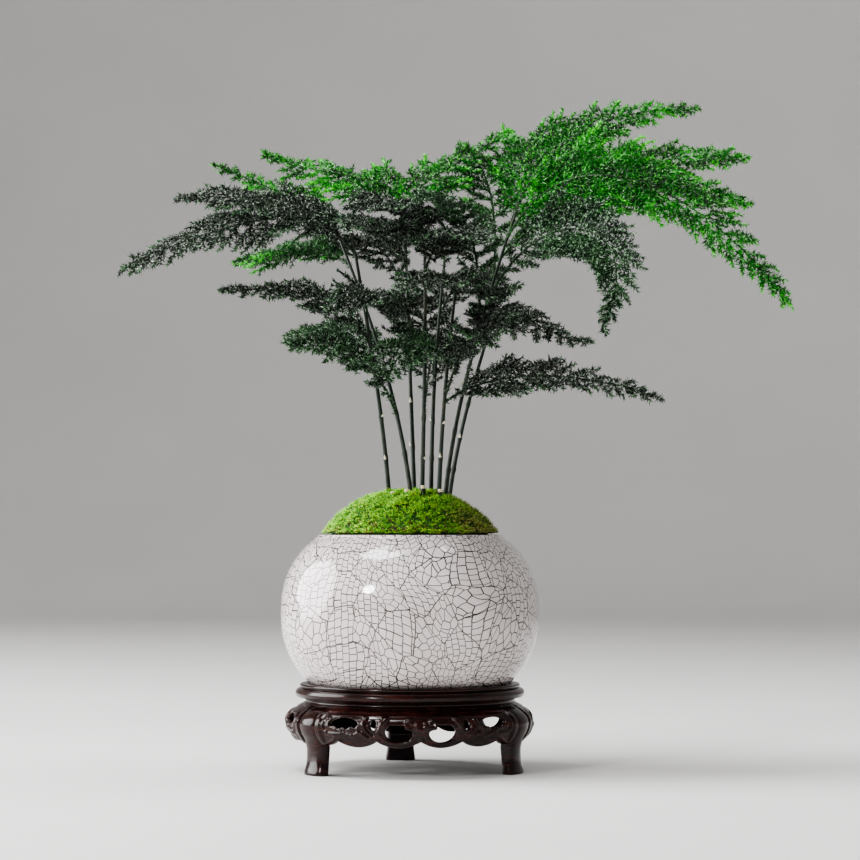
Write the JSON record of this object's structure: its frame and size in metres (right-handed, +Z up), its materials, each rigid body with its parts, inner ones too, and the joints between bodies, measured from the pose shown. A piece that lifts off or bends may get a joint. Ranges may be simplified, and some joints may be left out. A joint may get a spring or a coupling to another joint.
{
  "type": "potted asparagus fern",
  "caption": "Asparagus fern with layered feathery sprays on slim stems, in a round crackle-glazed pot with moss, on a carved three-legged wooden stand.",
  "frame": {"origin": "on the surface that the stand rests on, under the middle of the whole object's box", "axes": "+Z up, +X to the viewer's right, -Y towards the viewer of the picture"},
  "size_m": [0.464, 0.254, 0.4791],
  "materials": {
    "lacquered_wood": "gloss",
    "crackle_glaze": "gloss",
    "potting_soil": "matte",
    "moss": "matte",
    "green_stem": "satin",
    "cut_stem": "matte",
    "foliage_bright": "satin",
    "foliage_dark": "satin"
  },
  "bodies": {
    "root": {"stand_top": "lacquered_wood", "stand_waist": "lacquered_wood", "stand_leg_1": "lacquered_wood", "stand_leg_2": "lacquered_wood", "stand_leg_3": "lacquered_wood", "stand_apron_1": "lacquered_wood", "stand_apron_2": "lacquered_wood", "stand_apron_3": "lacquered_wood", "pot": "crackle_glaze", "soil": "potting_soil", "moss": "moss", "stem_1": "green_stem", "stem_2": "green_stem", "stem_3": "green_stem", "stem_4": "green_stem", "stem_5": "green_stem", "stem_6": "green_stem", "stem_7": "green_stem", "stem_8": "green_stem", "cut_stub_1": "cut_stem", "cut_stub_2": "cut_stem", "cut_stub_3": "cut_stem", "cut_stub_4": "cut_stem", "frond_left_front": "foliage_dark", "frond_left_upper": "foliage_dark", "frond_left_mid": "foliage_dark", "frond_top_left": "foliage_bright", "frond_left_back": "foliage_bright", "frond_left_low": "foliage_dark", "frond_left_low_back": "foliage_dark", "frond_top_mid_left": "foliage_bright", "frond_top_mid_right": "foliage_bright", "frond_mid_left": "foliage_dark", "frond_mid_left_back": "foliage_dark", "frond_inner_left": "foliage_dark", "frond_front_high": "foliage_dark", "frond_front_right": "foliage_dark", "frond_low_back": "foliage_dark", "frond_low_centre": "foliage_dark", "frond_back_high": "foliage_dark", "frond_back_right": "foliage_dark", "frond_centre_back": "foliage_dark", "frond_front_low": "foliage_dark", "frond_front_lowest": "foliage_dark", "frond_right_low": "foliage_dark", "frond_right_top": "foliage_bright", "frond_right_plume": "foliage_bright", "frond_right_fan": "foliage_bright", "frond_right_upper": "foliage_bright", "frond_right_side": "foliage_bright", "frond_right_inner": "foliage_bright", "frond_right_hanging": "foliage_dark", "frond_centre_top": "foliage_dark", "frond_mid_right": "foliage_dark", "frond_right_mid": "foliage_dark", "frond_right_back": "foliage_dark"}
  },
  "joints": []
}
